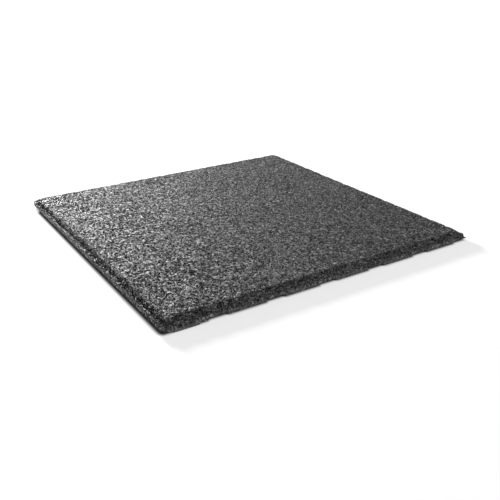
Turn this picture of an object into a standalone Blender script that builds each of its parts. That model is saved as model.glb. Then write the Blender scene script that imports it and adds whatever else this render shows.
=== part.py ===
"""A square tile of pressed rubber granulate, 500 mm on a side, lying flat with its worn side up.

The tile is one moulded piece. Its rim has an upright side, a narrow ledge and a steep bevel up to
the top face. Shallow drainage channels run from front to back under it and meet a step along the
back edge, so that the tile stands on six long pads.
"""

import math

import bmesh
import bpy

# Driving sizes, in metres. The origin is the middle of the floor area that the tile covers.
SIDE = 0.500
THICKNESS = 0.0155
CORNER_RADIUS = 0.0070
CORNER_TAPER = 0.4
CORNER_STEPS = 8

# The rim's profile: each height is above the floor, and each inset is in from the upright side.
SHOULDER_HEIGHT = 0.0104
SHOULDER_RADIUS = 0.0010
LEDGE_INSET = 0.0042
LEDGE_HEIGHT = 0.0111
BEVEL_INSET = 0.0080
TOP_RADIUS = 0.0012
ARC_STEPS = 4

# The underside: six pads, two thirds of the pitch wide, with a channel after each.
PAD_COUNT = 6
CHANNEL_PITCH = SIDE / PAD_COUNT
CHANNEL_WIDTH = CHANNEL_PITCH / 3
CHANNEL_DEPTH = 0.0040
CHANNEL_DRAFT = 0.0008
FIRST_CHANNEL = 0.0744
BACK_STEP = 0.0340
LEFT_RECESS = 0.0010
CUTTER_OVERRUN = 0.0100

RUBBER_COLOUR = (0.045, 0.045, 0.046, 1.0)
RUBBER_ROUGHNESS = 0.75

HALF = SIDE / 2


def clear_scene():
    for thing in list(bpy.data.objects):
        bpy.data.objects.remove(thing, do_unlink=True)


def rubber_material():
    """Matt black granulate, bound and pressed."""
    material = bpy.data.materials.new("rubber_granulate")
    material.use_nodes = True
    shader = material.node_tree.nodes["Principled BSDF"]
    shader.inputs["Base Color"].default_value = RUBBER_COLOUR
    shader.inputs["Roughness"].default_value = RUBBER_ROUGHNESS
    shader.inputs["Metallic"].default_value = 0.0
    return material


def rim_profile():
    """(inset, height) pairs up the rim, from the floor to the edge of the top face."""
    points = [(0.0, 0.0)]
    for step in range(ARC_STEPS + 1):
        turn = math.pi / 2 * step / ARC_STEPS
        inset = SHOULDER_RADIUS * (1 - math.cos(turn))
        height = SHOULDER_HEIGHT - SHOULDER_RADIUS * (1 - math.sin(turn))
        points.append((inset, height))
    points.append((LEDGE_INSET, LEDGE_HEIGHT))
    slope = math.atan2(THICKNESS - LEDGE_HEIGHT, BEVEL_INSET - LEDGE_INSET)
    tangent = TOP_RADIUS * math.tan(slope / 2)
    for step in range(ARC_STEPS + 1):
        turn = slope * (1 - step / ARC_STEPS)
        inset = BEVEL_INSET + tangent - TOP_RADIUS * math.sin(turn)
        height = THICKNESS - TOP_RADIUS * (1 - math.cos(turn))
        points.append((inset, height))
    return points


def rounded_square(inset, height):
    """Points of the tile's outline in plan, moved in from the side, counterclockwise.

    The corners get tighter towards the top, by the taper's share of the inset.
    """
    radius = CORNER_RADIUS - CORNER_TAPER * inset
    centre = HALF - inset - radius
    points = []
    for corner in range(4):
        start = math.pi / 2 * corner
        middle = start + math.pi / 4
        cx = math.copysign(centre, math.cos(middle))
        cy = math.copysign(centre, math.sin(middle))
        for step in range(CORNER_STEPS + 1):
            turn = start + math.pi / 2 * step / CORNER_STEPS
            points.append((cx + radius * math.cos(turn), cy + radius * math.sin(turn), height))
    return points


def tile_blank():
    """The pressed tile before its underside is cut: the rim's profile carried round the outline."""
    mesh = bpy.data.meshes.new("tile")
    shape = bmesh.new()
    rings = []
    for inset, height in rim_profile():
        rings.append([shape.verts.new(point) for point in rounded_square(inset, height)])
    for lower, upper in zip(rings, rings[1:]):
        for i in range(len(lower)):
            j = (i + 1) % len(lower)
            shape.faces.new((lower[i], lower[j], upper[j], upper[i]))
    shape.faces.new(list(reversed(rings[0])))
    shape.faces.new(rings[-1])
    bmesh.ops.recalc_face_normals(shape, faces=shape.faces)
    shape.to_mesh(mesh)
    shape.free()
    tile = bpy.data.objects.new("tile", mesh)
    bpy.context.collection.objects.link(tile)
    return tile


def channel_cutter(name, low, high):
    """A bar under the floor's level up to the channel's roof, with walls that lean by the draft.

    low and high are the (x, y) corners of the channel at the floor.
    """
    mesh = bpy.data.meshes.new(name)
    shape = bmesh.new()
    lean = CHANNEL_DRAFT / CHANNEL_DEPTH
    rings = []
    for height in (-CUTTER_OVERRUN, CHANNEL_DEPTH):
        inset = lean * height
        corners = (
            (low[0] + inset, low[1] + inset),
            (high[0] - inset, low[1] + inset),
            (high[0] - inset, high[1] - inset),
            (low[0] + inset, high[1] - inset),
        )
        rings.append([shape.verts.new((x, y, height)) for x, y in corners])
    for i in range(4):
        j = (i + 1) % 4
        shape.faces.new((rings[0][i], rings[0][j], rings[1][j], rings[1][i]))
    shape.faces.new(list(reversed(rings[0])))
    shape.faces.new(rings[1])
    bmesh.ops.recalc_face_normals(shape, faces=shape.faces)
    shape.to_mesh(mesh)
    shape.free()
    cutter = bpy.data.objects.new(name, mesh)
    cutter.hide_render = True
    cutter.display_type = "WIRE"
    bpy.context.collection.objects.link(cutter)
    return cutter


def underside_cutters():
    """The channels, the step along the back, the half channel at the right and the left recess."""
    outside = HALF + 2 * CUTTER_OVERRUN
    cutters = []
    for index in range(PAD_COUNT):
        centre = -HALF + FIRST_CHANNEL + index * CHANNEL_PITCH
        left = centre - CHANNEL_WIDTH / 2
        right = centre + CHANNEL_WIDTH / 2
        if index == PAD_COUNT - 1:
            right = outside
        cutters.append(channel_cutter(f"channel_{index + 1}", (left, -outside), (right, outside)))
    cutters.append(channel_cutter("back_step", (-outside, HALF - BACK_STEP), (outside, outside)))
    cutters.append(channel_cutter("left_recess", (-outside, -outside), (-HALF + LEFT_RECESS, outside)))
    return cutters


def cut(tile, cutters):
    for cutter in cutters:
        boolean = tile.modifiers.new(cutter.name, "BOOLEAN")
        boolean.operation = "DIFFERENCE"
        boolean.solver = "EXACT"
        boolean.object = cutter


def main():
    clear_scene()
    tile = tile_blank()
    tile.data.materials.append(rubber_material())
    cut(tile, underside_cutters())


main()
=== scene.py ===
# %% [markdown]
# # A floor tile of pressed rubber granulate
#
# The tile is made of ground-up tyre rubber: black crumbs, one to four millimetres across, wetted
# with binder and pressed in a mould. It is one piece of stock, 500 mm square, and it lies flat with
# its grainy face up.
#
# This lesson loads the packed model of the tile as a fixed frame, and then builds the grainy
# surface that the plain solid leaves out. The photograph's pixels are as large as most crumbs, so
# their places are random, and only their sizes, heights and shades follow the real ones.
#
# Every length is in metres. The near corner of the square points at the camera, the front side runs
# from it to the right, and the left side to the left.

import math

import bpy
import numpy as np
from mathutils import Matrix, Vector
from mathutils.geometry import delaunay_2d_cdt


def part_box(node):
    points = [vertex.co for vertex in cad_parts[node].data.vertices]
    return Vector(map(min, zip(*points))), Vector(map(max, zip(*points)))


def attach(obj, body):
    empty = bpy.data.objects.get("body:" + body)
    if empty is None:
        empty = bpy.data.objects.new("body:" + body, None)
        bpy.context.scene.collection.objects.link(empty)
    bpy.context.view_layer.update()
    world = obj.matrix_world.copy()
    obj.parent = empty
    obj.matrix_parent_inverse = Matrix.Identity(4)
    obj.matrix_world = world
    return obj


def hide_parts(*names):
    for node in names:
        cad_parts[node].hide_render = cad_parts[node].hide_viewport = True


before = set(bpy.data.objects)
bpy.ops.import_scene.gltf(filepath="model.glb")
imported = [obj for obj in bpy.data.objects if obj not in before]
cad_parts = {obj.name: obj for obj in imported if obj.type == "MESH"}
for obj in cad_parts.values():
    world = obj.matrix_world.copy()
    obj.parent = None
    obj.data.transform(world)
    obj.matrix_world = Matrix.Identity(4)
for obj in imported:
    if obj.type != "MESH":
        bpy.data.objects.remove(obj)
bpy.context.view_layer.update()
low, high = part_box("tile")
SIDE = high.x - low.x
THICKNESS = high.z - low.z
HALF = SIDE / 2
print("tile", round(SIDE * 1000, 2), "mm square,", round(THICKNESS * 1000, 2), "mm thick")

# %% [markdown]
# ## The camera
#
# The photograph looks down at the tile from in front of one corner, with the nearest corner low in
# the picture. The lens, the height and the turn of the camera are found from where the four corners
# of the square fall in the picture. The camera is placed from an azimuth, an elevation and a
# distance to a point on the floor, because those are the numbers that a photographer thinks in.
# It has a very small roll, as a camera held by hand has.

# %% Place the camera
AZIMUTH = math.radians(-32.50)
ELEVATION = math.radians(24.16)
ROLL = math.radians(-0.23)
DISTANCE = 0.988
TARGET = Vector((-0.0379, -0.1043, 0.0))
SENSOR = 36.0
FOCAL_PIXELS = 677.6
PICTURE_WIDTH = 500
UP = Vector((0, 0, 1))


def aimed_matrix(target, azimuth, elevation, roll, distance):
    """Where a camera stands to look at the target, with its sideways, upward and backward axes."""
    away = Vector(
        (
            math.sin(azimuth) * math.cos(elevation),
            -math.cos(azimuth) * math.cos(elevation),
            math.sin(elevation),
        )
    )
    across = (-away).cross(UP).normalized()
    upward = across.cross(-away)
    right = across * math.cos(roll) + upward * math.sin(roll)
    up = upward * math.cos(roll) - across * math.sin(roll)
    axes = Matrix((right, up, away)).transposed()
    return Matrix.Translation(target + away * distance) @ axes.to_4x4()


lens = bpy.data.cameras.new("camera")
lens.sensor_width = SENSOR
lens.lens = FOCAL_PIXELS * SENSOR / PICTURE_WIDTH
lens.clip_start = 0.01
lens.clip_end = 100.0
camera = bpy.data.objects.new("camera", lens)
camera.matrix_world = aimed_matrix(TARGET, AZIMUTH, ELEVATION, ROLL, DISTANCE)
bpy.context.scene.collection.objects.link(camera)
bpy.context.scene.camera = camera
print("camera at", [round(v, 3) for v in camera.matrix_world.translation], "lens", round(lens.lens, 2))

# %% [markdown]
# ## The rim's profile
#
# A press mould leaves the same rim on every side: an upright wall, a narrow ledge, and a steep
# bevel up to the tread face. Here the profile is a chain of points, each an inset from the wall and
# a height above the floor, read from the edge of the tread face outwards. Walking along the chain
# by its length gives a place and a facing for every granule on the rim. A bevel modifier could
# round a box, but it couldn't give the ledge, and its even faces would hide the grain.

# %% Walk along the rim's profile
CORNER_RADIUS = 0.0070
CORNER_TAPER = 0.4
CHANNEL_DEPTH = 0.0040
TOP_INSET = 0.0084
RIM_POINTS = (
    (TOP_INSET, THICKNESS),
    (0.0080, THICKNESS - 0.0002),
    (0.0042, 0.0111),
    (0.0010, 0.0104),
    (0.0003, 0.0101),
    (0.0, 0.0094),
    (0.0, CHANNEL_DEPTH),
)

rim_chain = np.array(RIM_POINTS)
rim_steps = np.diff(rim_chain, axis=0)
rim_lengths = np.hypot(rim_steps[:, 0], rim_steps[:, 1])
rim_stops = np.concatenate([[0.0], np.cumsum(rim_lengths)])
RIM_LENGTH = rim_stops[-1]


def corner_radius(inset):
    """The corners get tighter towards the top of the tile."""
    return CORNER_RADIUS - CORNER_TAPER * inset


def corner_centre(inset):
    return HALF - inset - corner_radius(inset)


TOP_RADIUS = corner_radius(TOP_INSET)
TOP_CENTRE = corner_centre(TOP_INSET)
EDGE_REACH = TOP_RADIUS + RIM_LENGTH
print("rim", round(RIM_LENGTH * 1000, 2), "mm long, stops at", np.round(rim_stops * 1000, 2))

# %% [markdown]
# ## From a flat sheet to the tile
#
# Granules are easy to scatter on a flat sheet and hard to scatter on a folded one. So the tread and
# the rim are laid out flat first, as a cake liner is before it is pressed into its tin. A point
# inside the tread face stays where it is, and a point further out goes down the rim by as much as
# it lies outside. These helpers measure that.

# %% Measure on the flat sheet
def outside_by(points):
    """The nearest point of the square of corner centres, the way out from it, and how far that is."""
    core = np.clip(points, -TOP_CENTRE, TOP_CENTRE)
    offset = points - core
    reach = np.hypot(offset[:, 0], offset[:, 1])
    return core, offset, reach


def down_rim(points):
    """How far down the rim from the tread's edge each point of the flat sheet lies."""
    return outside_by(points)[2] - TOP_RADIUS


def smooth_step(values, start, end):
    share = np.clip((values - start) / (end - start), 0.0, 1.0)
    return share * share * (3 - 2 * share)


print("the flat sheet is", round(2 * (TOP_CENTRE + EDGE_REACH) * 1000, 1), "mm square")

# %% [markdown]
# ## What the press squeezed out
#
# Three places of the real tile aren't quite as the mould was cut. At the right end of the front
# side the low part of the corner bulges, and a thin tongue of flash sticks out at its foot, where
# rubber crept into the mould's joint. The foot of the first pad is squeezed a little past the front
# side. Each is a smooth outward shift of the places that the fold gives, so the granules go with
# it and no seam shows.

# %% Shift the corner and the first pad's foot
CORNER_TIP = np.array([0.24795, -0.24795])
FLASH_WAY = np.array([0.843, -0.537])
CORNER_LUMP = 0.0016
LUMP_WIDTH = 0.0060
LUMP_START = 0.0045
LUMP_END = 0.0100
FLASH_REACH = 0.0046
FLASH_WIDTH = 0.0026
FLASH_START = 0.0135
FOOT_SWELL = 0.0030
FOOT_FROM = 0.0040
FOOT_TO = 0.0520
FOOT_RISE = 0.0130
FOOT_FALL = 0.0050
FOOT_START = 0.0115
FRONT_FROM = HALF - CORNER_RADIUS
FRONT_TO = HALF - 0.3 * CORNER_RADIUS
BACKWARD = np.array([0.0, 1.0])


def foot_swell(x):
    """How far the foot of the first pad is squeezed out past the front side."""
    along = x + HALF
    rise = smooth_step(along, FOOT_FROM, FOOT_FROM + FOOT_RISE)
    return FOOT_SWELL * rise * (1 - smooth_step(along, FOOT_TO - FOOT_FALL, FOOT_TO))


def squeezed_out(plan, walked):
    """The outward shift of the lump, the flash and the foot, from the plan and the way down the rim."""
    away = np.hypot(*(plan - CORNER_TIP).T)
    lump = CORNER_LUMP * np.exp(-((away / LUMP_WIDTH) ** 2)) * smooth_step(walked, LUMP_START, LUMP_END)
    tongue = FLASH_REACH * np.exp(-((away / FLASH_WIDTH) ** 2))
    tongue *= smooth_step(walked, FLASH_START, RIM_LENGTH)
    at_front = smooth_step(-plan[:, 1], FRONT_FROM, FRONT_TO)
    swell = foot_swell(plan[:, 0]) * at_front * smooth_step(walked, FOOT_START, RIM_LENGTH)
    return (lump + tongue)[:, None] * FLASH_WAY - swell[:, None] * BACKWARD


print("foot swells", round(float(foot_swell(np.array([0.03 - HALF]))[0]) * 1000, 2), "mm past the side")

# %% [markdown]
# ## Folding
#
# The fold gives each point of the sheet its place on the tile and the way that the surface faces
# there. The facing is taken over a short walk to either side, so it turns gently at the rim's
# angles, and granules there don't cross each other.

# %% Fold the flat sheet over the rim
FACING_BLUR = 0.0007
TINY = 1e-9


def fold(points):
    """The place and facing on the tile of each point of the flat sheet."""
    core, offset, reach = outside_by(points)
    walked = np.clip(reach - TOP_RADIUS, 0.0, RIM_LENGTH)
    inset = np.interp(walked, rim_stops, rim_chain[:, 0])
    height = np.interp(walked, rim_stops, rim_chain[:, 1])
    way = offset / np.maximum(reach, TINY)[:, None]
    on_rim = reach > TOP_RADIUS
    plan = core * (corner_centre(inset) / TOP_CENTRE)[:, None] + way * corner_radius(inset)[:, None]
    plan = np.where(on_rim[:, None], plan, points)
    plan = plan + squeezed_out(plan, walked)
    places = np.column_stack([plan, height])

    before = np.clip(walked - FACING_BLUR, 0.0, RIM_LENGTH)
    after = np.clip(walked + FACING_BLUR, 0.0, RIM_LENGTH)
    run = np.interp(before, rim_stops, rim_chain[:, 0]) - np.interp(after, rim_stops, rim_chain[:, 0])
    fall = np.interp(before, rim_stops, rim_chain[:, 1]) - np.interp(after, rim_stops, rim_chain[:, 1])
    run = np.where(on_rim, run, 1.0)
    fall = np.where(on_rim, fall, 0.0)
    size = np.maximum(np.hypot(run, fall), TINY)
    facing = np.column_stack([way * (fall / size)[:, None], run / size])
    return places, facing


edge_middle = np.array([[0.0, -(TOP_CENTRE + EDGE_REACH)]])
print("the middle of the front edge folds to", np.round(fold(edge_middle)[0][0] * 1000, 2), "mm")

# %% [markdown]
# ## Scattering the granules
#
# Every granule starts as one point. On the tread the points begin as a honeycomb, are shaken out of
# line, and some are dropped, so that small crumbs and large ones lie side by side. On the rim they
# stand in rows that follow the mould's lines, which keeps the ledge and the bevel crisp. Around the
# outside each row is mirrored, so that the last cells end on a clean line.

# %% Lay a shaken honeycomb over the tread
RANDOM_SEED = 20
rng = np.random.default_rng(RANDOM_SEED)
TREAD_PITCH = 0.00325
RIM_PITCH = 0.0023
SHAKE = 0.40
DROPPED = 0.12
TREAD_GAP = 0.45


def tread_points(pitch, last_row):
    """A shaken honeycomb over the tread, out to a row at the given length down the rim."""
    row_gap = pitch * math.sqrt(3) / 2
    reach = TOP_CENTRE + TOP_RADIUS + last_row - TREAD_GAP * pitch
    rows = int(2 * reach / row_gap) + 2
    columns = int(2 * reach / pitch) + 2
    across, along = np.meshgrid(np.arange(columns), np.arange(rows))
    points = np.column_stack([across.ravel() * pitch, along.ravel() * row_gap])
    points[:, 0] += 0.5 * pitch * (along.ravel() % 2)
    points -= (points.max(axis=0) + points.min(axis=0)) / 2
    points += rng.uniform(-SHAKE, SHAKE, points.shape) * pitch
    keep = rng.random(len(points)) > DROPPED
    inside = np.abs(points).max(axis=1) < reach
    return points[keep & inside]


print("granules are", TREAD_PITCH * 1000, "mm apart on the tread and", RIM_PITCH * 1000, "mm on the rim")

# %% Lay rows of points down the rim
ROW_STOPS = (-0.0022, -0.0009, 0.0009, 0.0026, 0.0046, 0.0066, 0.0084, 0.0103, 0.0121, 0.0139)
ROW_SHAKE = 0.3
ROW_DRIFT = 0.00022
TURN_SHAKE = 0.2
QUARTER = math.pi / 2


def rim_row(walked, pitch):
    """One row of points all round the tile, the given length down the rim from the tread face."""
    reach = TOP_RADIUS + walked
    inset = np.interp(walked, rim_stops, rim_chain[:, 0])
    straight = 2 * TOP_CENTRE
    count = int(round(straight / pitch))
    turns = max(1, int(round(QUARTER * corner_radius(inset) / pitch)))
    row = []
    for quarter in range(4):
        angle = QUARTER * quarter
        out = np.array([math.cos(angle), math.sin(angle)])
        along = np.array([-math.sin(angle), math.cos(angle)])
        steps = (np.arange(count) + 0.5 + rng.uniform(-ROW_SHAKE, ROW_SHAKE, count)) / count
        drift = rng.uniform(-ROW_DRIFT, ROW_DRIFT, count)
        sideways = along * (steps * straight - TOP_CENTRE)[:, None]
        row.append(out * (TOP_CENTRE + reach + drift)[:, None] + sideways)
        corner = TOP_CENTRE * (out + along)
        for turn in range(turns):
            bend = angle + QUARTER * (turn + 0.5 + rng.uniform(-TURN_SHAKE, TURN_SHAKE)) / turns
            row.append(corner + reach * np.array([[math.cos(bend), math.sin(bend)]]))
    return np.vstack(row)


rim_rows = [rim_row(stop, RIM_PITCH) for stop in ROW_STOPS]
sheet_points = np.vstack([tread_points(TREAD_PITCH, ROW_STOPS[0]), *rim_rows])
SEED_COUNT = len(sheet_points)
print(SEED_COUNT, "granules on the sheet")

# %% Mirror the outer rows
MIRRORED_BAND = 0.006
core, offset, reach = outside_by(sheet_points)
near_edge = reach > EDGE_REACH - MIRRORED_BAND
mirror = core[near_edge] + offset[near_edge] * (2 * EDGE_REACH / reach[near_edge] - 1)[:, None]
seeds = np.vstack([sheet_points, mirror])
print(len(mirror), "mirrored ones outside the edge")

# %% [markdown]
# ## Granules from points
#
# Crumbs pressed together share their walls, and each wall lies halfway between two neighbours. That
# is a Voronoi pattern. Blender has no tool for it, but it has Delaunay triangles, and the centres
# of the circles round those triangles are the corners of the Voronoi cells. Joining each granule's
# point to its ring of corners gives a little faceted stud, six or so triangles each. Corners that
# all but coincide are merged, because a sliver between them would catch the light.

# %% Find the corners of the cells
def circle_centres(points, triangles):
    a, b, c = (points[triangles[:, i]] for i in range(3))
    ab = b - a
    ac = c - a
    twice = 2 * (ab[:, 0] * ac[:, 1] - ab[:, 1] * ac[:, 0])
    ab2 = (ab**2).sum(axis=1)
    ac2 = (ac**2).sum(axis=1)
    shift_x = (ac[:, 1] * ab2 - ab[:, 1] * ac2) / twice
    shift_y = (ab[:, 0] * ac2 - ac[:, 0] * ab2) / twice
    return a + np.column_stack([shift_x, shift_y])


def merged_corners(triangles, corners, tolerance):
    """One label for each triangle, shared where the centres of two neighbours all but coincide."""
    sides = np.vstack([triangles[:, [0, 1]], triangles[:, [1, 2]], triangles[:, [2, 0]]])
    sides.sort(axis=1)
    owner = np.tile(np.arange(len(triangles)), 3)
    order = np.lexsort((sides[:, 1], sides[:, 0]))
    sides, owner = sides[order], owner[order]
    twin = np.flatnonzero((sides[1:] == sides[:-1]).all(axis=1))
    one, other = owner[twin], owner[twin + 1]
    close = np.hypot(*(corners[one] - corners[other]).T) < tolerance
    one, other = one[close], other[close]
    label = np.arange(len(triangles))
    while (label[one] != label[other]).any():
        least = np.minimum(label[one], label[other])
        np.minimum.at(label, one, least)
        np.minimum.at(label, other, least)
    return label


right_angle = np.array([[0.0, 0.0], [0.002, 0.0], [0.0, 0.002]])
right_centre = circle_centres(right_angle, np.array([[0, 1, 2]]))[0]
print("the circle round a 2 mm right angle has its centre at", right_centre * 1000, "mm")

# %% Turn the points into cells
MERGED = 0.00012
PLAN_TOLERANCE = 1e-7


def cells_of(points, inner_count, tolerance):
    """The corners of the cells, and the triangles that join each inner point to its ring."""
    _, _, faces, _, _, _ = delaunay_2d_cdt([Vector(p) for p in points], [], [], 0, PLAN_TOLERANCE)
    triangles = np.array(faces)
    corners = circle_centres(points, triangles)
    label = merged_corners(triangles, corners, tolerance)
    pairs = np.column_stack([triangles.ravel(), np.repeat(label, 3)])
    pairs = np.unique(pairs[pairs[:, 0] < inner_count], axis=0)
    owner, corner = pairs.T
    away = corners[corner] - points[owner]
    order = np.lexsort((np.arctan2(away[:, 1], away[:, 0]), owner))
    owner, corner = owner[order], corner[order]
    last = np.flatnonzero(np.append(owner[1:] != owner[:-1], True))
    following = np.arange(1, len(owner) + 1)
    following[last] = np.append(0, last[:-1] + 1)
    used, compact = np.unique(corner, return_inverse=True)
    fans = np.column_stack([owner, inner_count + compact, inner_count + compact[following]])
    return corners[used], fans


corner_points, fans = cells_of(seeds, SEED_COUNT, MERGED)
print(len(corner_points), "cell corners,", len(fans), "triangles on the tread and rim")

# %% [markdown]
# ## Pressing the relief
#
# The press flattens most crumbs to one level. So each granule gets a height of its own, close to
# the mould's face, and some sink or are missing. Each cell corner drops by a random depth, which
# opens the joints.
#
# The edge of the tread is different: crumbs break off there when the tile leaves its mould and
# whenever it is carried. That edge is bitten away along a narrow band. How deep follows a sum of
# waves that run in random directions, which is a simple smooth noise, so that bites and sound
# lengths take turns.

# %% Bite the edge of the tread
EDGE_MIDDLE = 0.0024
EDGE_WIDTH = 0.0028
BITE_WAVE = 0.016
WAVE_SPREAD = (0.7, 1.4)
BITE_SHAKE = 0.45
BITE_DEPTH = 0.00150
BITE_MOST = 1.6


def random_waves(wavelength, count=16):
    """The turn, length and phase of waves that run across the sheet in random directions."""
    turns, phases = rng.uniform(0, 2 * math.pi, (2, count))
    return turns, wavelength * rng.uniform(*WAVE_SPREAD, count), phases


def ripple(points, waves):
    """A smooth field of unit spread: the sum of the waves at each point of the sheet."""
    field = np.zeros(len(points))
    for turn, length, phase in zip(*waves):
        along = points[:, 0] * math.cos(turn) + points[:, 1] * math.sin(turn)
        field += np.cos(2 * math.pi * along / length + phase)
    return field * math.sqrt(2 / len(waves[0]))


bite_waves = random_waves(BITE_WAVE)


def bite(points):
    """How deep the edge of the tread is bitten away at each point of the sheet."""
    band = np.exp(-(((down_rim(points) - EDGE_MIDDLE) / EDGE_WIDTH) ** 2))
    ragged = ripple(points, bite_waves) + rng.normal(0.0, BITE_SHAKE, len(points))
    return BITE_DEPTH * band * np.clip(ragged, 0.0, BITE_MOST)


print("bites are up to", round(BITE_DEPTH * BITE_MOST * 1000, 1), "mm deep")

# %% Raise the granules and sink the joints
PRESSED_LEVEL = -0.00026
PRESSED_SPREAD = 0.00013
SUNKEN_SHARE = 0.14
SUNKEN_DEPTH = (0.00030, 0.00100)
MISSING_SHARE = 0.05
MISSING_DEPTH = (0.00065, 0.00130)
JOINT_DEPTH = 0.00050
JOINT_SPREAD = 0.00040
HIGHEST = 0.00033
EDGE_LINE = 2e-5

flat_points = np.vstack([seeds[:SEED_COUNT], corner_points])
relief = np.empty(len(flat_points))
relief[:SEED_COUNT] = rng.normal(PRESSED_LEVEL, PRESSED_SPREAD, SEED_COUNT)
sunken = rng.random(SEED_COUNT) < SUNKEN_SHARE
relief[:SEED_COUNT] -= sunken * rng.uniform(*SUNKEN_DEPTH, SEED_COUNT)
missing = rng.random(SEED_COUNT) < MISSING_SHARE
relief[:SEED_COUNT] -= missing * rng.uniform(*MISSING_DEPTH, SEED_COUNT)
relief[SEED_COUNT:] = -JOINT_DEPTH + rng.normal(0.0, JOINT_SPREAD, len(corner_points))
bitten = bite(flat_points)
relief -= bitten
relief = np.minimum(relief, HIGHEST)
relief[down_rim(flat_points) > RIM_LENGTH - EDGE_LINE] = 0.0
places, facing = fold(flat_points)
grain_places = places + facing * relief[:, None]
print("relief from", round(relief.min() * 1000, 2), "to", round(relief.max() * 1000, 2), "mm")

# %% [markdown]
# ## Where it is gloomy
#
# A deep joint is dark because no light gets in. The bevel of the left side is dark too, all along:
# that is painted shade, as is a little darkening in the ledge's inner crease and at the foot of the
# sides, most of all on the left. The tread and the ledge were pressed closed. One number for each
# point holds this painted shade, the gloom, from none to full. It comes from the depth of the relief
# and from a table of levels down the rim, one column for all sides and one for the left. A bitten
# edge is open to the light, so most of a bite's depth doesn't count as a joint.

# %% Work out the gloom
# Each row: how far down the rim, the level of painted shade there, and the level there on the left side.
RIM_PAINTED_SHADE = np.array(
    [
        (0.0000, 0.00, 0.00),
        (0.0011, 0.05, 0.00),
        (0.0033, 0.00, 0.25),
        (0.0044, 0.00, 0.54),
        (0.0055, 0.00, 0.69),
        (0.0066, 0.05, 0.60),
        (0.0077, 0.10, 0.37),
        (0.0088, 0.05, 0.13),
        (0.0102, 0.00, 0.00),
        (0.0118, 0.00, 0.00),
        (0.0150, 0.00, 0.00),
        (0.0163, 0.10, 0.50),
    ]
)
LEFTWARD = (0.5, 0.9)
GLOOM_SHAKE = (0.6, 1.4)
GLOOM_START = 0.00015
GLOOM_FULL = 0.00110
BITE_OPEN = 0.80


def gloom_of(depth, points):
    """The gloom of points of the flat sheet at the given depths: painted shade in joints and down the
    rim.
    """
    _, offset, reach = outside_by(points)
    leftward = smooth_step(-offset[:, 0] / np.maximum(reach, TINY), *LEFTWARD)
    common = np.interp(reach - TOP_RADIUS, RIM_PAINTED_SHADE[:, 0], RIM_PAINTED_SHADE[:, 1])
    left = np.interp(reach - TOP_RADIUS, RIM_PAINTED_SHADE[:, 0], RIM_PAINTED_SHADE[:, 2])
    # Painted shade down the rim: the left column on the left side, the common one elsewhere.
    rim_painted_shade = (common + (left - common) * leftward) * rng.uniform(*GLOOM_SHAKE, len(points))
    joint = smooth_step(depth, GLOOM_START, GLOOM_FULL)
    return 1 - (1 - joint) * (1 - np.clip(rim_painted_shade, 0.0, 1.0))


gloom = gloom_of(-relief - BITE_OPEN * bitten, flat_points)
print("mean gloom", round(gloom.mean(), 2))

# %% [markdown]
# ## The underside
#
# The tile stands on six long pads, so that water can run off below it. The underside is seen from
# low down or when the tile is lifted. It is laid out in plan. The outline of the tile is the ring
# of points where the rim ends, and each pad has one line round its foot and another where its walls
# meet the channels' roof. Triangles are later drawn between these fixed lines, which keeps every
# wall of a pad where it belongs.

# %% Find the ring where the rim ends
def edge_ring(triangles):
    """The indices of the open edge of a mesh, in order round it."""
    sides = np.vstack([triangles[:, [0, 1]], triangles[:, [1, 2]], triangles[:, [2, 0]]])
    key = np.sort(sides, axis=1)
    _, where, count = np.unique(key, axis=0, return_index=True, return_counts=True)
    follow = {int(a): int(b) for a, b in sides[where[count == 1]]}
    ring = [next(iter(follow))]
    while follow[ring[-1]] != ring[0]:
        ring.append(follow[ring[-1]])
    return ring


ring = edge_ring(fans)
plan = [grain_places[i][:2] for i in ring]
plan_height = [float(grain_places[i][2]) for i in ring]
plan_lines = [(i, (i + 1) % len(ring)) for i in range(len(ring))]
print("the rim ends in a ring of", len(ring), "points")

# %% Measure the pads and channels
PAD_COUNT = 6
PITCH = SIDE / PAD_COUNT
CHANNEL_WIDTH = PITCH / 3
FIRST_CHANNEL = 0.0744
BACK_STEP = 0.0340
LEFT_RECESS = 0.0010
DRAFT = 0.0008
FRONT_DRAFT = 0.0009
PAD_FRONT = -HALF + FRONT_DRAFT
PAD_BACK = HALF - BACK_STEP
ON_THE_LINE = 1e-6


def pad_edges():
    """The left and right edge of each pad at the floor."""
    edges = []
    left = -HALF + LEFT_RECESS
    for index in range(PAD_COUNT):
        centre = -HALF + FIRST_CHANNEL + index * PITCH
        edges.append((left, centre - CHANNEL_WIDTH / 2))
        left = centre + CHANNEL_WIDTH / 2
    return edges


def kept_inside(point, margin):
    """The nearest place that lies the margin inside the tile's outline, and how far off it is."""
    centre = HALF - CORNER_RADIUS
    core = np.clip(point, -centre, centre)
    offset = np.array(point) - core
    reach = math.hypot(*offset)
    limit = CORNER_RADIUS - margin
    if reach <= limit:
        return np.array(point), 0.0
    return core + offset * limit / reach, reach - limit


def walk(points, step):
    """The same chain of points with more between them, none further apart than the step."""
    out = []
    for start, end in zip(points, points[1:]):
        start, end = np.array(start), np.array(end)
        parts = max(1, int(math.ceil(np.hypot(*(end - start)) / step)))
        out.extend(start + (end - start) * k / parts for k in range(parts))
    out.append(np.array(points[-1]))
    return out


print("first pad from", [round(edge * 1000, 1) for edge in pad_edges()[0]], "mm")

# %% Draw the pads in plan
WALL_STEP = 0.0026
WALL_SHAKE = 0.3
WALL_SHARES = (0.35, 0.70)
SHARE_SHAKE = 0.12
HEIGHT_SHAKE = 0.1
WALL_MARGIN = 0.002
LINE_STEP = 0.0045


def add_line(points, height, closed):
    """Adds a chain of points at one height to the plan, and keeps it as a fixed line."""
    start = len(plan)
    for point in points:
        plan.append(point)
        plan_height.append(height)
    plan_lines.extend((start + i, start + i + 1) for i in range(len(points) - 1))
    if closed:
        plan_lines.append((len(plan) - 1, start))


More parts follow.
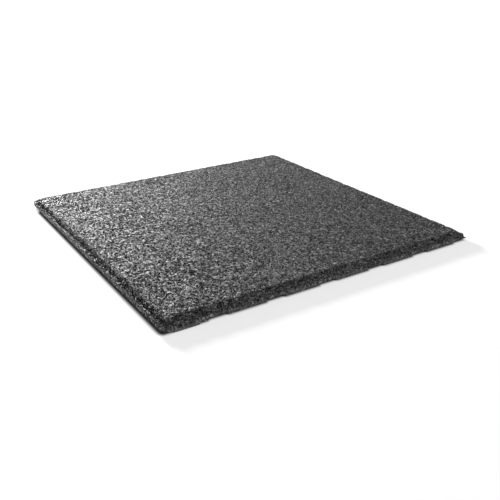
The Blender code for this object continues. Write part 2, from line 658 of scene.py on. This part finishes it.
for left, right in pad_edges():
    foot = [(left, PAD_FRONT), (right, PAD_FRONT), (right, PAD_BACK), (left, PAD_BACK), (left, PAD_FRONT)]
    foot = [kept_inside(p, FRONT_DRAFT)[0] for p in walk(foot, LINE_STEP)[:-1]]
    foot = [p - (0.0, foot_swell(p[0]) * (p[1] < PAD_FRONT + LINE_STEP / 2)) for p in foot]
    add_line(foot, 0.0, True)
    roof_line = (
        (right + DRAFT, PAD_FRONT),
        (right + DRAFT, PAD_BACK + DRAFT),
        (left - DRAFT, PAD_BACK + DRAFT),
        (left - DRAFT, PAD_FRONT),
    )
    roof_line = [p for p in walk(roof_line, LINE_STEP) if kept_inside(p, FRONT_DRAFT)[1] < ON_THE_LINE]
    add_line(roof_line, CHANNEL_DEPTH, False)
    for share in WALL_SHARES:
        wall_places = np.arange(left + WALL_MARGIN, right - WALL_MARGIN, WALL_STEP)
        wall_places += rng.uniform(-WALL_SHAKE, WALL_SHAKE, len(wall_places)) * WALL_STEP
        for x in wall_places:
            depth = FRONT_DRAFT * (share + rng.uniform(-SHARE_SHAKE, SHARE_SHAKE))
            if abs(x) < HALF - CORNER_RADIUS:
                plan.append(np.array([x, -HALF + depth - foot_swell(x)]))
                plan_height.append(CHANNEL_DEPTH * (1 - share + rng.uniform(-HEIGHT_SHAKE, HEIGHT_SHAKE)))
print(len(plan), "points on lines and walls in plan")

# %% [markdown]
# ## Soles and channel roofs
#
# Between the lines there are only wide, flat areas. The real ones are as grainy as the tread, but
# they lie in the dark. So points a few millimetres apart are enough here, shaken out of line and
# lifted by up to a quarter of a millimetre. They keep clear of the lines, or thin triangles would
# arise there. Delaunay triangulation with fixed lines then fills the plan in one step.

# %% Scatter points over the soles and the channel roofs
FLOOR_STEP = 0.0055
FLOOR_SHAKE = 0.3
FLOOR_GRAIN = 0.00025
CLEAR_OF_LINES = 0.35 * FLOOR_STEP


def sole_or_roof(x, y):
    """The height of the underside at a place, or None close to a pad's wall or the tile's edge."""
    clear = CLEAR_OF_LINES
    if max(abs(x), abs(y)) > HALF - clear:
        return None
    for left, right in pad_edges():
        if left + clear < x < right - clear and y < PAD_BACK - clear:
            return 0.0
        if left - DRAFT - clear < x < right + DRAFT + clear and y < PAD_BACK + DRAFT + clear:
            return None
    return CHANNEL_DEPTH


steps = np.arange(-HALF, HALF, FLOOR_STEP)
for x in steps:
    for y in steps:
        shift = rng.uniform(-FLOOR_SHAKE, FLOOR_SHAKE, 2) * FLOOR_STEP
        height = sole_or_roof(x + shift[0], y + shift[1])
        if height is not None:
            plan.append(np.array([x + shift[0], y + shift[1]]))
            plan_height.append(height + rng.uniform(0.0, FLOOR_GRAIN))
print(len(plan), "points in plan")

# %% Fill the plan with triangles
out_points, _, out_faces, original, _, _ = delaunay_2d_cdt(
    [Vector(p) for p in plan], plan_lines, [], 1, PLAN_TOLERANCE
)
assert len(out_points) == len(plan), "two lines of the underside cross"
under_plan = np.array([tuple(p) for p in out_points])
under_height = np.array([plan_height[source[0]] for source in original])
under_faces = np.array(out_faces)
print(len(under_faces), "triangles underneath")

# %% [markdown]
# ## One closed mesh
#
# Tread, rim and underside share the ring of points at the rim's end, so they join into one closed
# skin. Each triangle is left flat, not smoothed, because cut rubber breaks into flat facets. Two
# layers of numbers go with the mesh for the finish to read: the gloom of each point, and a shade
# for each facet. Facets of one granule share most of their shade, and each has a little of its own.

# %% Join the skins
UNDER_GLOOM = 0.20
LEFT_WALL_GLOOM = 0.90
LEFT_WALL = 0.0060
UNDER_SHADES = (0.30, 0.80)
FACET_SHARE = 0.28

ring_of = {}
for row, source in enumerate(original):
    if source[0] < len(ring):
        ring_of[row] = ring[source[0]]
base = len(grain_places)
index_of = np.array([ring_of.get(row, base + row) for row in range(len(under_plan))])
under_places = np.column_stack([under_plan, under_height])
all_places = np.vstack([grain_places, under_places])
all_faces = np.vstack([fans, index_of[under_faces][:, ::-1]])
# Within a few millimetres of the left side the underside takes strong gloom: painted shade, a dark line
# along the left foot.
under_gloom = np.where(under_plan[:, 0] < LEFT_WALL - HALF, LEFT_WALL_GLOOM, UNDER_GLOOM)
all_gloom = np.concatenate([gloom, under_gloom])
used, compact = np.unique(all_faces, return_inverse=True)
granule_shade = rng.random(SEED_COUNT)
under_shade = rng.uniform(*UNDER_SHADES, len(under_faces))
face_shade = np.concatenate([granule_shade[fans[:, 0]], under_shade])
face_shade = FACET_SHARE * rng.random(len(face_shade)) + (1 - FACET_SHARE) * face_shade
print(len(used), "points in the skin")

# %% Make the skin
def mesh_with_numbers(name, points, triangles, gloom_values, shade_values):
    """A mesh that carries the gloom of its points and the shade of its faces."""
    mesh = bpy.data.meshes.new(name)
    mesh.from_pydata(points.tolist(), [], triangles.tolist())
    mesh.update()
    for layer, domain, values in (("gloom", "POINT", gloom_values), ("shade", "FACE", shade_values)):
        numbers = mesh.attributes.new(layer, "FLOAT", domain)
        numbers.data.foreach_set("value", values.astype(np.float32))
    print(name, "has", len(mesh.vertices), "points and", len(mesh.polygons), "triangles")
    return mesh


skin = mesh_with_numbers(
    "granulate_tile", all_places[used], compact.reshape(all_faces.shape), all_gloom[used], face_shade
)
tile = bpy.data.objects.new("granulate_tile", skin)
bpy.context.scene.collection.objects.link(tile)

# %% [markdown]
# ## Small crumbs
#
# The skin so far gives the large granules. Most of the mix is finer: crumbs of one or two
# millimetres that stand on end, lie flat or sit half sunk in binder, and give the face its sparkle.
# Each is a lopsided pyramid with three facets that show and a base sunk in the skin, so that every
# crumb is a closed solid. They are worked out as arrays, in four sizes with a mesh each, because
# one object with nearly two hundred thousand lumps is slow to edit.

# %% Shape small crumbs
CRUMB_BASE = (-0.00060, -0.00030)
CRUMB_TIP = (-0.00025, 0.00042)
CRUMB_LOP = 0.00012
CRUMB_TURN = 0.4
CRUMB_LEAN = 0.5
CRUMB_LID = 0.00043
# The three base corners of each crumb take gloom: painted shade where the crumb sinks into the skin.
TIP_GLOOM = (0.75, 0.75, 0.75, 0.0)
PYRAMID = np.array([(0, 1, 3), (1, 2, 3), (2, 0, 3), (0, 2, 1)])
THIRD = 2 * math.pi / 3


def crumb_mesh(name, sites, reach):
    """Lopsided pyramids at points of the flat sheet."""
    count = len(sites)
    places, normal = fold(sites)
    side = np.cross(normal, rng.normal(size=normal.shape))
    side /= np.linalg.norm(side, axis=1)[:, None]
    other = np.cross(normal, side)
    drop = bite(sites)
    base = rng.uniform(*CRUMB_BASE, count) - drop
    tip = rng.uniform(*CRUMB_TIP, count) - drop
    corners = []
    for third in range(3):
        turn = THIRD * third + rng.uniform(-CRUMB_TURN, CRUMB_TURN, count)
        size = rng.uniform(*reach, count)
        level = base + rng.uniform(-CRUMB_LOP, CRUMB_LOP, count)
        out = side * (size * np.cos(turn))[:, None] + other * (size * np.sin(turn))[:, None]
        corners.append(places + out + normal * level[:, None])
    lean = rng.uniform(-CRUMB_LEAN, CRUMB_LEAN, (2, count)) * reach[1]
    corners.append(places + side * lean[0][:, None] + other * lean[1][:, None] + normal * tip[:, None])
    points = np.stack(corners, axis=1).reshape(-1, 3)
    points[:, 2] = np.minimum(points[:, 2], THICKNESS + CRUMB_LID)
    triangles = (np.arange(count)[:, None, None] * len(corners) + PYRAMID).reshape(-1, 3)
    dim = gloom_of(-tip - BITE_OPEN * drop, sites)
    crumb_gloom = 1 - (1 - dim[:, None]) * (1 - np.array(TIP_GLOOM))
    shades = np.repeat(rng.random(count), len(PYRAMID))
    shades = FACET_SHARE * rng.random(len(shades)) + (1 - FACET_SHARE) * shades
    return mesh_with_numbers(name, points, triangles, crumb_gloom.ravel(), shades)


print("each crumb has", len(PYRAMID), "triangles")

# %% Set small crumbs in the skin
CRUMB_PITCH = 0.00120
CRUMB_ROWS = np.arange(0.0003, 0.0158, 0.00118)
CRUMB_NAMES = ("coarse_crumbs", "middling_crumbs", "small_crumbs", "fine_crumbs")
CRUMB_REACHES = ((0.00060, 0.00100), (0.00050, 0.00085), (0.00040, 0.00070), (0.00030, 0.00060))

crumb_rows = [rim_row(stop, CRUMB_PITCH) for stop in CRUMB_ROWS]
sites = rng.permutation(np.vstack([tread_points(CRUMB_PITCH, CRUMB_ROWS[0]), *crumb_rows]))
crumb_pieces = []
for name, share, reach in zip(CRUMB_NAMES, np.array_split(sites, len(CRUMB_REACHES)), CRUMB_REACHES):
    crumbs = bpy.data.objects.new(name, crumb_mesh(name, share, reach))
    bpy.context.scene.collection.objects.link(crumbs)
    crumb_pieces.append(crumbs)

# %% [markdown]
# ## Writing shader sums as plain maths
#
# A material is a graph of nodes, and sums are easier to read as sums. The small class below wraps a
# socket. Adding, subtracting or multiplying wrapped sockets adds the Math node that does it, and
# one method makes any other node from its type, its settings and its inputs.

# %% A socket that can be added and multiplied
class Wire:
    def __init__(self, tree, socket):
        self.tree = tree
        self.socket = socket

    def make(self, kind, settings=None, output=0, **inputs):
        """A node of any kind. An input is named as in Blender, or by its number after a low dash.

        The output is named as in Blender too, or numbered where several have one name.
        """
        node = self.tree.nodes.new(kind)
        for name, value in (settings or {}).items():
            setattr(node, name, value)
        for name, value in inputs.items():
            key = int(name[1:]) if name[0] == "_" else name.replace("_", " ")
            Wire.plug(self.tree, value, node.inputs[key])
        return Wire(self.tree, node.outputs[output])

    @staticmethod
    def plug(tree, value, socket):
        if isinstance(value, Wire):
            tree.links.new(value.socket, socket)
        else:
            socket.default_value = value

    def sum(self, operation, first, second):
        return self.make("ShaderNodeMath", {"operation": operation}, _0=first, _1=second)

    def __add__(self, other):
        return self.sum("ADD", self, other)

    __radd__ = __add__

    def __sub__(self, other):
        return self.sum("SUBTRACT", self, other)

    def __rsub__(self, other):
        return self.sum("SUBTRACT", other, self)

    def __mul__(self, other):
        return self.sum("MULTIPLY", self, other)

    __rmul__ = __mul__

    def __pow__(self, other):
        return self.sum("POWER", self, other)

    def size(self):
        return self.sum("ABSOLUTE", self, 0.0)

    def rounded(self):
        return self.sum("ROUND", self, 0.0)

    def at_least(self, other):
        return self.sum("MAXIMUM", self, other)

    def clamped(self, low_end, high_end, to_low=0.0, to_high=1.0):
        """Goes smoothly from one level to another while the value goes from the low end to the high."""
        return self.make(
            "ShaderNodeMapRange",
            {"interpolation_type": "SMOOTHSTEP"},
            Value=self,
            From_Min=low_end,
            From_Max=high_end,
            To_Min=to_low,
            To_Max=to_high,
        )


print("a wire can", ", ".join(name for name in vars(Wire) if not name.startswith("__")))

# %% [markdown]
# ## The finish of the rubber
#
# Black rubber is never one black. Cut faces are matt, faces that met the mould have a soft shine,
# worn ones are paler, and the joints between crumbs are dark. So the tone and the gloss follow the
# shade of each facet, and the gloom mixes in a matt black without any gloss, as painted shade in the
# joints, on the rim and along the left foot. A fine Voronoi pattern and a finer noise stand for the
# smallest crumbs, which are too many to model one by one. Their relief goes into a bump, which bends
# the light without moving the skin.

# %% Choose the rubber's tones
FINE_SCALE = 950.0
DUST_SCALE = 2200.0
DUST_DETAIL = 2.0
BUMP_DISTANCE = 0.0010
DARK_RUBBER = (0.006, 0.006, 0.0063, 1.0)
WORN_RUBBER = (0.18, 0.18, 0.183, 1.0)
PIT_AND_SHADE_BLACK = (0.004, 0.004, 0.004, 1.0)
TONE_FINE = 0.25
TONE_ENDS = (0.44, 0.95)
SHINE_FINE = 0.3
SHINE_ENDS = (0.55, 0.90)
MATT = 0.50
MATT_DROP = 0.15
GRAIN_ENDS = (0.05, 0.75)
GRAIN_SHARE = 0.75
GLOOM_STRENGTH = 1.35
SEAM_ENDS = (0.62, 0.90)
SEAM_STRENGTH = 0.5
DEEP_ENDS = (0.04, 0.84)
print("rubber reflects from", DARK_RUBBER[0], "to", WORN_RUBBER[0], "of the light")

# %% Mix the rubber
def rubber_finish():
    material = bpy.data.materials.new("rubber_granulate")
    material.use_nodes = True
    tree = material.node_tree
    shader = tree.nodes["Principled BSDF"]
    root = Wire(tree, None)
    place = root.make("ShaderNodeTexCoord", output="Object")
    gloom_level = root.make("ShaderNodeAttribute", {"attribute_name": "gloom"}, output="Fac")
    shade = root.make("ShaderNodeAttribute", {"attribute_name": "shade"}, output="Fac")
    kind = {"voronoi_dimensions": "3D", "feature": "F1"}
    fine = root.make("ShaderNodeTexVoronoi", kind, Vector=place, Scale=FINE_SCALE)
    fine_tone = root.make("ShaderNodeTexVoronoi", kind, output="Color", Vector=place, Scale=FINE_SCALE)
    fine_shade = root.make("ShaderNodeSeparateColor", output="Red", Color=fine_tone)
    dust = root.make("ShaderNodeTexNoise", Vector=place, Scale=DUST_SCALE, Detail=DUST_DETAIL)
    tone = (TONE_FINE * fine_shade + (1 - TONE_FINE) * shade).clamped(*TONE_ENDS)
    colour = root.make(
        "ShaderNodeMix", {"data_type": "RGBA"}, output=2, _0=tone, _6=DARK_RUBBER, _7=WORN_RUBBER
    )
    Wire.plug(tree, colour, shader.inputs["Base Color"])
    shine = ((1 - SHINE_FINE) * shade + SHINE_FINE * fine_shade).clamped(*SHINE_ENDS)
    Wire.plug(tree, MATT - MATT_DROP * shine, shader.inputs["Roughness"])
    height = GRAIN_SHARE * (1 - fine.clamped(*GRAIN_ENDS)) + (1 - GRAIN_SHARE) * dust
    bump = root.make("ShaderNodeBump", Strength=1.0, Distance=BUMP_DISTANCE, Height=height)
    Wire.plug(tree, bump, shader.inputs["Normal"])
    pit_and_shade = root.make("ShaderNodeBsdfDiffuse", Color=PIT_AND_SHADE_BLACK, Roughness=1.0)
    # Painted shade: the gloom, with the dark seams of the fine pattern, mixes in the matt black.
    deep = gloom_level * (GLOOM_STRENGTH - fine_shade) + SEAM_STRENGTH * fine.clamped(*SEAM_ENDS)
    granule = Wire(tree, shader.outputs[0])
    mixed = root.make("ShaderNodeMixShader", _0=deep.clamped(*DEEP_ENDS), _1=granule, _2=pit_and_shade)
    Wire.plug(tree, mixed, tree.nodes["Material Output"].inputs["Surface"])
    return material


rubber = rubber_finish()
for piece in (tile, *crumb_pieces):
    piece.data.materials.append(rubber)
    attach(piece, "root")
    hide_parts("tile")
print("rubber has", len(rubber.node_tree.nodes), "nodes")

# %% [markdown]
# ## The floor
#
# The tile lies on plain white paper. The paper glows a little, which keeps it white up to the
# horizon, and gives the tile's sides a pale floor to mirror. Under the tile the glow is masked, or
# light would leak out of the channels. The mask follows the tile's outline and reaches a few
# millimetres past it: there it is a painted contact shadow, in the paper's glow and its colour. It
# opens at the mouths of the channels and along the step at the back, where daylight gets under the
# tile. Beside the left side the glow is strong, a painted pool of light, more so towards the back,
# because a bright surface lights the real side there. An image painted for the paper could do the
# same, but sums on the place are exact at any size.

# %% Lay the paper
FLOOR_REACH = 30.0
PAPER_GREY = 0.34
PAPER_ROUGHNESS = 0.9
SHADED_PAPER = 0.06
FLOOR_GLOW = 0.40

floor_mesh = bpy.data.meshes.new("floor")
floor_mesh.from_pydata(
    [
        (-FLOOR_REACH, -FLOOR_REACH, 0.0),
        (FLOOR_REACH, -FLOOR_REACH, 0.0),
        (FLOOR_REACH, FLOOR_REACH, 0.0),
        (-FLOOR_REACH, FLOOR_REACH, 0.0),
    ],
    [],
    [(0, 1, 2, 3)],
)
floor = bpy.data.objects.new("floor", floor_mesh)
bpy.context.scene.collection.objects.link(floor)
paper = bpy.data.materials.new("white_paper")
paper.use_nodes = True
paper_shader = paper.node_tree.nodes["Principled BSDF"]
paper_shader.inputs["Roughness"].default_value = PAPER_ROUGHNESS
paper_shader.inputs["Specular IOR Level"].default_value = 0.0
paper_shader.inputs["Emission Strength"].default_value = FLOOR_GLOW
print("paper", 2 * FLOOR_REACH, "m wide")

# %% Mask the glow round the tile and paint a contact shadow
# These set the painted contact shadow round the tile: its reach, its shift at the mouths and pads, and
# the back step.
GLOW_BESIDE = (-0.0006, 0.0062)
GLOW_BEFORE = (-0.0038, 0.0036)
MOUTH_SHARE = (0.19, 0.12)
MOUTH_OPEN = 0.0013
PAD_DARK = 0.0014
STEP_FROM = (-0.004, 0.010)
STEP_OPEN = 0.0060
STRAIGHT_TO = HALF - CORNER_RADIUS

paper_wire = Wire(paper.node_tree, None)
floor_place = paper_wire.make("ShaderNodeTexCoord", output="Object")
floor_x = paper_wire.make("ShaderNodeSeparateXYZ", output="X", Vector=floor_place)
floor_y = paper_wire.make("ShaderNodeSeparateXYZ", output="Y", Vector=floor_place)
past_x = floor_x.size() - STRAIGHT_TO
past_y = floor_y.size() - STRAIGHT_TO
round_x = past_x.at_least(0.0)
round_y = past_y.at_least(0.0)
beyond = (round_x * round_x + round_y * round_y) ** 0.5 - CORNER_RADIUS
channel_number = (floor_x + (HALF - FIRST_CHANNEL)) * (1 / PITCH)
off_centre = (channel_number - channel_number.rounded().at_least(0.0)).size()
at_mouth = off_centre.clamped(*MOUTH_SHARE, -PAD_DARK, MOUTH_OPEN)
before = (past_y - CORNER_RADIUS + at_mouth).clamped(*GLOW_BEFORE)
behind = (floor_y - (HALF - BACK_STEP)).clamped(*STEP_FROM, 0.0, STEP_OPEN)
outside_painted_shadow = (beyond + behind).clamped(*GLOW_BESIDE).at_least(before)
print("the mask has", len(paper.node_tree.nodes), "nodes")

# %% Let the paper glow
BRIGHT_EDGE = (0.0065, 0.0120)
GLOW_RISE = (-0.15, 0.22, 9.7, 24.0)
FAR_PAPER = (0.8, 3.0)
FAR_GLOW = 2.5

# Beside the left side the paper's glow rises into a painted pool of light, which lights the tile's left
# side.
left_share = (-1 * floor_x - HALF).clamped(*BRIGHT_EDGE)
left_glow = 1 + left_share * (floor_y.clamped(*GLOW_RISE) - 1)
far_away = (floor_x * floor_x + floor_y * floor_y) ** 0.5
far_glow = far_away.clamped(*FAR_PAPER, 1.0, FAR_GLOW)
glow = outside_painted_shadow * left_glow.at_least(far_glow)
Wire.plug(paper.node_tree, glow, paper_shader.inputs["Emission Color"])
# The paper's colour darkens in the painted contact shadow too.
Wire.plug(paper.node_tree, SHADED_PAPER + PAPER_GREY * outside_painted_shadow, paper_shader.inputs["Base Color"])
floor_mesh.materials.append(paper)
print("paper has", len(paper.node_tree.nodes), "nodes")

# %% [markdown]
# ## The light
#
# The room is even white light in front of the tile and dim behind it, and a little dimmer overhead.
# A band of white along the horizon stands for the studio's walls. One soft lamp stands low behind
# the tile: it gives the tread its pale sheen at the left corner, and throws a short, faint shadow
# to the front. A lamp is used for it, and not a bright patch of sky, because its size sets how soft
# the shadow's edge is.

# %% Light the room
# Each row of four: from one share of the direction to another, and the levels at those two.
FRONT_LEVEL = 3.1
FRONT_TO_BACK = (-0.9, 0.9)
BACK_LEVELS = (0.15, 0.75, 0.33, 0.05)
OVERHEAD = (0.2, 1.0, 0.95, 0.50)
LEFT_LEVELS = (-0.8, 0.1, 0.80, 1.0)
HORIZON = (0.09, 0.15, 1.0, 0.0)

world = bpy.data.worlds.new("studio")
bpy.context.scene.world = world
world.use_nodes = True
sky = Wire(world.node_tree, None)
background = world.node_tree.nodes["Background"]
direction = sky.make("ShaderNodeTexCoord", output="Generated")
sideways = sky.make("ShaderNodeSeparateXYZ", output="X", Vector=direction)
backward = sky.make("ShaderNodeSeparateXYZ", output="Y", Vector=direction)
upward = sky.make("ShaderNodeSeparateXYZ", output="Z", Vector=direction)
toward_back = backward.clamped(*FRONT_TO_BACK)
brightness = FRONT_LEVEL * (1 - toward_back) + toward_back * sideways.clamped(*BACK_LEVELS)
brightness = brightness * upward.clamped(*OVERHEAD) * sideways.clamped(*LEFT_LEVELS)
brightness = brightness.at_least(upward.clamped(*HORIZON))
Wire.plug(world.node_tree, brightness, background.inputs["Strength"])
background.inputs["Color"].default_value = (1.0, 1.0, 1.0, 1.0)
print("sky has", len(world.node_tree.nodes), "nodes")

# %% Hang the lamp
KEY_DISTANCE = 1.8
KEY_ELEVATION = math.radians(17.6)
KEY_TURN = math.radians(2)
KEY_SIZE = 0.28
KEY_POWER = 105.0


def soft_light(name, place, aim, size, power):
    """A round lamp that shines from its place towards the aim."""
    light = bpy.data.lights.new(name, "AREA")
    light.shape = "DISK"
    light.size = size
    light.energy = power
    holder = bpy.data.objects.new(name, light)
    holder.location = place
    holder.rotation_euler = (Vector(aim) - Vector(place)).to_track_quat("-Z", "Y").to_euler()
    bpy.context.scene.collection.objects.link(holder)
    return holder


key_place = (
    -KEY_DISTANCE * math.cos(KEY_ELEVATION) * math.sin(KEY_TURN),
    KEY_DISTANCE * math.cos(KEY_ELEVATION) * math.cos(KEY_TURN),
    KEY_DISTANCE * math.sin(KEY_ELEVATION),
)
key = soft_light("key", key_place, (0.0, 0.0, 0.0), KEY_SIZE, KEY_POWER)
bpy.context.scene.view_settings.view_transform = "Standard"
print("lamp at", [round(v, 2) for v in key.location])

# The grain stands a little above the tread, and the foot and the flash reach three millimetres past
# the sides. Anything more would be a mistake.

# %% Finish
print("scene built")
